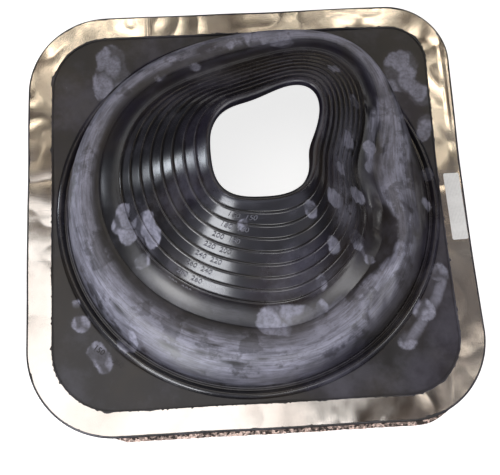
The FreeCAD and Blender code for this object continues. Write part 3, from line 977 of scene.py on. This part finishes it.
def looked_at(tree):
    """1 for rays from the camera, or mirrored or let through by a surface."""
    path = node(tree, "ShaderNodeLightPath").outputs
    most = maths(tree, path["Is Camera Ray"], path["Is Glossy Ray"], "MAXIMUM")
    return maths(tree, most, path["Is Transmission Ray"], "MAXIMUM")


def flag(name, profile, steps, dark, light, front):
    """Dark cloth of the studio, spun round the axis, that only mirroring surfaces show.
    Its folds go from dark to light, and the front of it has a colour of its own."""
    bm = bmesh.new()
    verts = [bm.verts.new((r, 0, z)) for r, z in profile]
    edges = [bm.edges.new(pair) for pair in zip(verts, verts[1:])]
    turn_round(bm, verts + edges, steps)
    made = as_object(bm, name)
    made.visible_camera, made.visible_shadow, made.visible_diffuse = False, False, False
    cloth, tree, shader, place = material(name)
    folds = mixed(tree, ramp(tree, noisy(tree, place, 2.2, 4.0), 0.40, 0.62), solid(dark), solid(light))
    ahead = ramp(tree, node(tree, "ShaderNodeSeparateXYZ", {"Vector": place}).outputs["Y"], -0.18, -0.48)
    plug(tree, shader, Base_Color=mixed(tree, ahead, folds, solid(front)), Roughness=1.0)
    made.data.materials.append(cloth)


class BOOT_OT_stage(bpy.types.Operator):
    """Set up the pale floor, the lamps and the camera"""
    bl_idname = "boot.stage"
    bl_label = "Stage"

    def execute(self, context):
        scene = context.scene
        scene.view_settings.view_transform = "Standard"
        world = bpy.data.worlds.new("studio")
        world.use_nodes = True
        scene.world = world
        tree = world.node_tree
        white = stretched(tree, looked_at(tree), WORLD_LEVEL, 1.0, 0.0, 1.0)
        tree.links.new(white, tree.nodes["Background"].inputs["Strength"])
        tree.nodes["Background"].inputs["Color"].default_value = (1, 1, 1, 1)

        bm = bmesh.new()
        bmesh.ops.create_grid(bm, x_segments=1, y_segments=1, size=4.0)
        floor = as_object(bm, "floor")
        made, tree, shader, place = material("pale_floor")
        seen = looked_at(tree)
        speck = mixed(tree, noisy(tree, place, 3.0), (0.84, 0.84, 0.84, 1), (0.88, 0.88, 0.88, 1))
        speck = mixed(tree, seen, (0.3, 0.3, 0.3, 1), speck)
        plug(tree, shader, Base_Color=speck, Roughness=0.9, Emission_Color=(1, 1, 1, 1),
             Emission_Strength=maths(tree, seen, FLOOR_GLOW))
        floor.data.materials.append(made)

        flag("dark_ceiling", ((0.001, 1.78), (1.75, 1.70)), 48, *BROWN_CLOTH)
        flag("dark_surround", ((0.001, 0.0015), (0.70, 0.004), (0.78, 0.40)), 96, *BLUE_CLOTH)

        lamp("overhead", (-0.34, 0.04, 1.50), (-0.34, 0.04, 0.0), 1.10, 0.90, 1.30, (1.0, 0.955, 0.93))
        for x, y, width, depth, level in (
                (-0.66, 0.80, 0.16, 0.16, 1.9), (-0.40, 0.92, 0.10, 0.22, 2.1),
                (-0.23, 1.10, 0.15, 0.20, 2.2), (0.17, 1.16, 0.08, 0.20, 1.2),
                (0.39, 1.15, 0.18, 0.20, 2.3), (0.80, 0.90, 0.28, 0.28, 2.0),
                (0.54, 0.72, 0.08, 0.20, 1.3), (-0.84, 0.58, 0.10, 0.14, 1.9)):
            lamp("behind", (x, y, 1.45), (x, y, 0.0), width, depth, 1.5 * level, GOLDEN)
        lamp("behind_fill", (-0.05, 1.05, 1.60), (-0.05, 1.05, 0.0), 1.7, 0.8, 0.05, (1.0, 0.80, 0.62))
        lamp("right_fill", (0.85, 0.10, 1.60), (0.85, 0.10, 0.0), 0.8, 1.1, 0.12, (1.0, 0.92, 0.90))
        lamp("front_right", (0.52, 0.02, 1.40), (0.52, 0.02, 0.0), 0.10, 0.12, 1.2, (1.0, 0.90, 0.78))
        lamp("left_key", (-1.20, -1.10, 1.00), (0.0, 0.0, 0.03), 0.8, 0.6, 10.5)
        lamp("front_key", (0.45, -1.60, 0.95), (0.0, 0.0, 0.03), 0.8, 0.6, 4.6)
        lamp("right_key", (1.55, -0.65, 1.15), (0.0, 0.0, 0.03), 0.8, 0.6, 4.5)
        lamp("front_left_low", (-0.29, -0.485, 0.060), (-0.035, -0.06, 0.09), 0.24, 0.12, 10.0, SILVER)
        lamp("left_low", (-0.55, 0.17, 0.040), (-0.08, 0.03, 0.10), 0.06, 0.08, 15.0, SKY)

        camera = bpy.data.objects.new("camera", bpy.data.cameras.new("camera"))
        camera.location = CAMERA_AT
        camera.rotation_euler = [radians(turn) for turn in CAMERA_TURN_DEG]
        camera.data.lens, camera.data.sensor_width = CAMERA_LENS, CAMERA_SENSOR
        scene.collection.objects.link(camera)
        scene.camera = camera
        return {"FINISHED"}


class BOOT_PT_panel(bpy.types.Panel):
    """Lists the boot's pieces and their sizes and colours"""
    bl_label = "Pipe flashing boot"
    bl_idname = "BOOT_PT_panel"
    bl_space_type = "VIEW_3D"
    bl_region_type = "UI"
    bl_category = "Boot"

    def draw(self, context):
        for group_name in ("boot_sizes", "boot_colours"):
            values = getattr(context.scene, group_name)
            for name in values.__annotations__:
                self.layout.prop(values, name)
        for operator in OPERATORS:
            self.layout.operator(operator.bl_idname)


OPERATORS = (BOOT_OT_stage, BOOT_OT_rubber, BOOT_OT_numbers, BOOT_OT_band, BOOT_OT_gasket, BOOT_OT_label)
CLASSES = (BootSizes, BootColours, *OPERATORS, BOOT_PT_panel)


def register():
    for cls in CLASSES:
        bpy.utils.register_class(cls)
    bpy.types.Scene.boot_sizes = bpy.props.PointerProperty(type=BootSizes)
    bpy.types.Scene.boot_colours = bpy.props.PointerProperty(type=BootColours)


def unregister():
    del bpy.types.Scene.boot_sizes
    del bpy.types.Scene.boot_colours
    for cls in reversed(CLASSES):
        bpy.utils.unregister_class(cls)


def main():
    register()
    for operator in OPERATORS:
        area, name = operator.bl_idname.split(".")
        getattr(getattr(bpy.ops, area), name)()


if __name__ == "__main__":
    main()
